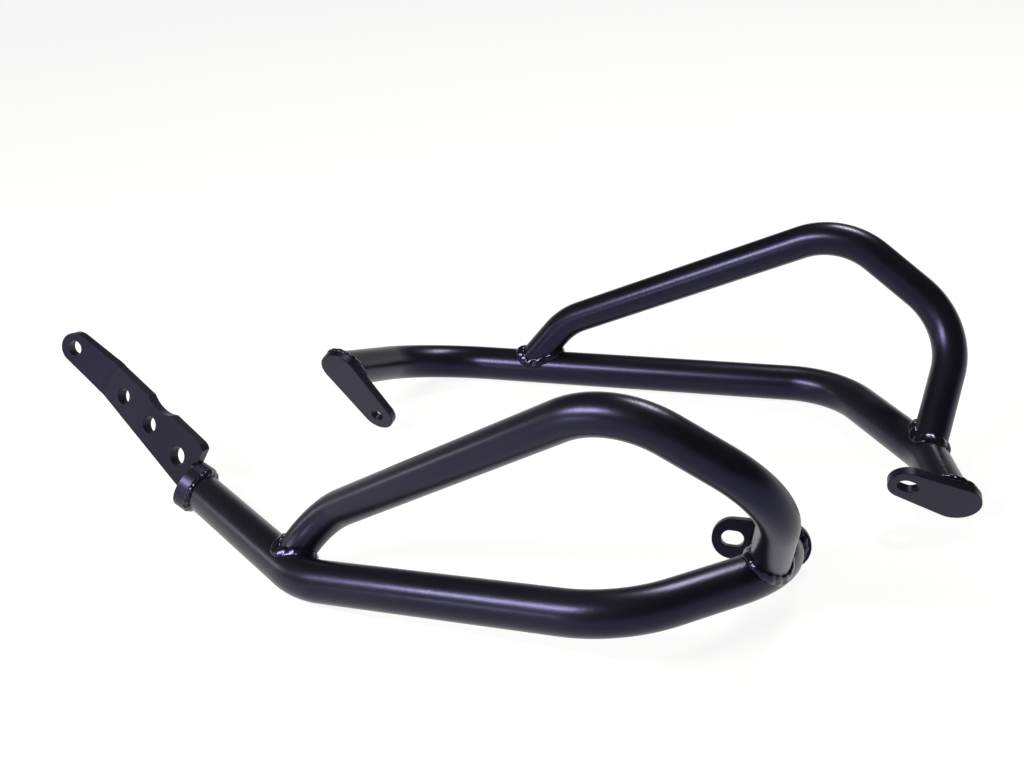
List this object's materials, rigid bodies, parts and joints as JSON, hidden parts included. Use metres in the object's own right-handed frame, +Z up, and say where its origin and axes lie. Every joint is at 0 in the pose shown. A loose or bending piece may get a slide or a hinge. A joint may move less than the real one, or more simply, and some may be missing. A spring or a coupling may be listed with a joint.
{
  "type": "motorcycle crash bars",
  "caption": "Pair of bent tube engine crash bars with raised welded hoops, slotted rear plates and bolted front mounts.",
  "frame": {"origin": "middle of the pair's bounding box, on the floor that both bars lie on", "axes": "+Z up from the floor, +X to the viewer's right in the picture and towards the rear of the bars, +Y away from the viewer"},
  "size_m": [0.6035, 0.3989, 0.1585],
  "materials": {
    "tube": "satin black powder coat",
    "plate": "satin black powder coat",
    "weld": "glossier black powder coat over a weld bead"
  },
  "bodies": {
    "root": {"near_main_tube": "tube", "near_hoop_tube": "tube", "near_front_bracket": "plate", "near_end_disc": "plate", "near_rear_plate": "plate", "near_weld_bracket_face": "weld", "near_weld_bracket_back": "weld", "near_weld_end_disc": "weld", "near_weld_front_foot": "weld", "near_weld_rear_foot": "weld", "near_weld_rear_plate": "weld", "far_main_tube": "tube", "far_hoop_tube": "tube", "far_front_plate": "plate", "far_rear_plate": "plate", "far_weld_front_plate": "weld", "far_weld_front_foot": "weld", "far_weld_rear_foot": "weld", "far_weld_rear_plate": "weld"}
  },
  "joints": []
}
